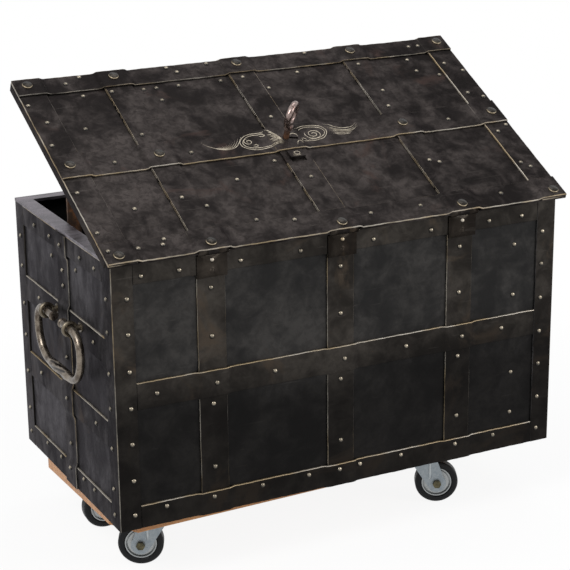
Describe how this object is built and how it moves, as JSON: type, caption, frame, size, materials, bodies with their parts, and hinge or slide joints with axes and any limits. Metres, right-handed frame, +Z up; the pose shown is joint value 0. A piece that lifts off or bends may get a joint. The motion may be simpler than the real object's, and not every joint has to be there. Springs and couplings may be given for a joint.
{
  "type": "armada chest",
  "caption": "Riveted iron strongbox bound with flat bands, its hinged lid propped open with the lock underneath, a key in the lid, drop handles, and a low board on swivel casters.",
  "frame": {"origin": "on the floor under the chest, at the middle of the bounding box in X and Y", "axes": "+X to the right along the hinge side, +Y from the hinge side to the front where the lid opens, +Z up"},
  "size_m": [0.8652, 0.4548, 0.7595],
  "materials": {
    "black_iron": "blackened sheet iron with worn edges",
    "lid_iron": "blackened iron, warmer and a little worn",
    "bright_iron": "forged iron rubbed bright",
    "rusty_iron": "brown rusty iron",
    "plywood": "varnished plywood",
    "zinc_steel": "zinc-plated pressed steel",
    "rubber": "smooth black rubber"
  },
  "bodies": {
    "chest": {"floor_sheet": "black_iron", "back_sheet": "black_iron", "front_sheet": "black_iron", "left_end_sheet": "black_iron", "right_end_sheet": "black_iron", "rim_frame": "bright_iron", "corner_straps": "black_iron", "upright_straps": "black_iron", "back_bands": "black_iron", "front_bands": "black_iron", "end_bands": "black_iron", "end_straps": "black_iron", "wall_rivets": "bright_iron", "end_rivets": "bright_iron", "false_keyhole_plate": "black_iron", "hinge_leaves": "black_iron", "hinge_pins": "bright_iron", "handle_eyes": "black_iron", "stay_peg": "black_iron", "board": "plywood", "caster_plates": "zinc_steel", "caster_screws": "zinc_steel"},
    "lid": {"lid_sheet": "lid_iron", "lid_lip": "lid_iron", "lid_cross_straps": "lid_iron", "lid_end_bands": "lid_iron", "lid_long_bands": "lid_iron", "lid_rivets": "bright_iron", "lid_large_heads": "lid_iron", "lock_plate": "black_iron", "bolt_guides": "black_iron", "stay_bracket": "black_iron", "stay_pin": "bright_iron"},
    "key": {"key": "bright_iron", "lock_cam": "black_iron"},
    "front_bolts": {"front_bolts": "bright_iron"},
    "back_bolts": {"back_bolts": "bright_iron"},
    "left_bolt": {"left_bolt": "bright_iron"},
    "right_bolt": {"right_bolt": "bright_iron"},
    "keyhole_cover": {"keyhole_cover": "black_iron"},
    "lid_stay": {"lid_stay": "rusty_iron"},
    "left_handle": {"left_handle": "black_iron"},
    "right_handle": {"right_handle": "black_iron"},
    "caster_1": {"caster_fork_1": "zinc_steel", "axle_1": "zinc_steel"},
    "wheel_1": {"wheel_hub_1": "zinc_steel", "tyre_1": "rubber"},
    "caster_2": {"caster_fork_2": "zinc_steel", "axle_2": "zinc_steel"},
    "wheel_2": {"wheel_hub_2": "zinc_steel", "tyre_2": "rubber"},
    "caster_3": {"caster_fork_3": "zinc_steel", "axle_3": "zinc_steel"},
    "wheel_3": {"wheel_hub_3": "zinc_steel", "tyre_3": "rubber"},
    "caster_4": {"caster_fork_4": "zinc_steel", "axle_4": "zinc_steel"},
    "wheel_4": {"wheel_hub_4": "zinc_steel", "tyre_4": "rubber"}
  },
  "joints": [
    {"name": "lid_hinge", "type": "hinge", "parent": "chest", "child": "lid", "pos_m": [0, -0.21659, 0.5511], "axis": [1, 0, 0], "range_deg": [-26.5, 68.5]},
    {"name": "stay_pivot", "type": "hinge", "parent": "lid", "child": "lid_stay", "pos_m": [-0.36, 0.04497, 0.66073], "axis": [1, 0, 0], "range_deg": [-62, 25]},
    {"name": "key_turn", "type": "hinge", "parent": "lid", "child": "key", "pos_m": [-0.01, -0.01876, 0.65409], "axis": [0, -0.4462, 0.8949], "range_deg": [0, 90]},
    {"name": "front_bolts_shoot", "type": "slide", "parent": "lid", "child": "front_bolts", "axis": [0, 0.8949, 0.4462], "range_m": [0, 0.0121]},
    {"name": "back_bolts_shoot", "type": "slide", "parent": "lid", "child": "back_bolts", "axis": [0, -0.8949, -0.4462], "range_m": [0, 0.0121]},
    {"name": "left_bolt_shoot", "type": "slide", "parent": "lid", "child": "left_bolt", "axis": [-1, 0, 0], "range_m": [0, 0.0121]},
    {"name": "right_bolt_shoot", "type": "slide", "parent": "lid", "child": "right_bolt", "axis": [1, 0, 0], "range_m": [0, 0.0121]},
    {"name": "keyhole_cover_slide", "type": "slide", "parent": "lid", "child": "keyhole_cover", "axis": [0, 0.8949, 0.4462], "range_m": [-0.006, 0.003]},
    {"name": "left_handle_swing", "type": "hinge", "parent": "chest", "child": "left_handle", "pos_m": [-0.419, -0.02059, 0.411], "axis": [0, 1, 0], "range_deg": [0, 150]},
    {"name": "right_handle_swing", "type": "hinge", "parent": "chest", "child": "right_handle", "pos_m": [0.419, -0.02059, 0.411], "axis": [0, -1, 0], "range_deg": [0, 150]},
    {"name": "caster_1_swivel", "type": "hinge", "parent": "chest", "child": "caster_1", "pos_m": [-0.3035, -0.11459, 0.095], "axis": [0, 0, 1], "continuous": true},
    {"name": "wheel_1_roll", "type": "hinge", "parent": "caster_1", "child": "wheel_1", "pos_m": [-0.32507, -0.10407, 0.0375], "axis": [-0.4384, -0.8988, 0], "continuous": true},
    {"name": "caster_2_swivel", "type": "hinge", "parent": "chest", "child": "caster_2", "pos_m": [0.204, -0.11459, 0.095], "axis": [0, 0, 1], "continuous": true},
    {"name": "wheel_2_roll", "type": "hinge", "parent": "caster_2", "child": "wheel_2", "pos_m": [0.22557, -0.12511, 0.0375], "axis": [0.4384, 0.8988, 0], "continuous": true},
    {"name": "caster_3_swivel", "type": "hinge", "parent": "chest", "child": "caster_3", "pos_m": [-0.3035, 0.05341, 0.095], "axis": [0, 0, 1], "continuous": true},
    {"name": "wheel_3_roll", "type": "hinge", "parent": "caster_3", "child": "wheel_3", "pos_m": [-0.32744, 0.05508, 0.0375], "axis": [-0.0698, -0.9976, 0], "continuous": true},
    {"name": "caster_4_swivel", "type": "hinge", "parent": "chest", "child": "caster_4", "pos_m": [0.204, 0.05341, 0.095], "axis": [0, 0, 1], "continuous": true},
    {"name": "wheel_4_roll", "type": "hinge", "parent": "caster_4", "child": "wheel_4", "pos_m": [0.22238, 0.06883, 0.0375], "axis": [-0.6428, 0.766, 0], "continuous": true}
  ],
  "couplings": [
    {"joint": "front_bolts_shoot", "follows": "key_turn", "m_per_rad": 0.0076394},
    {"joint": "back_bolts_shoot", "follows": "key_turn", "m_per_rad": 0.0076394},
    {"joint": "left_bolt_shoot", "follows": "key_turn", "m_per_rad": 0.0076394},
    {"joint": "right_bolt_shoot", "follows": "key_turn", "m_per_rad": 0.0076394}
  ]
}
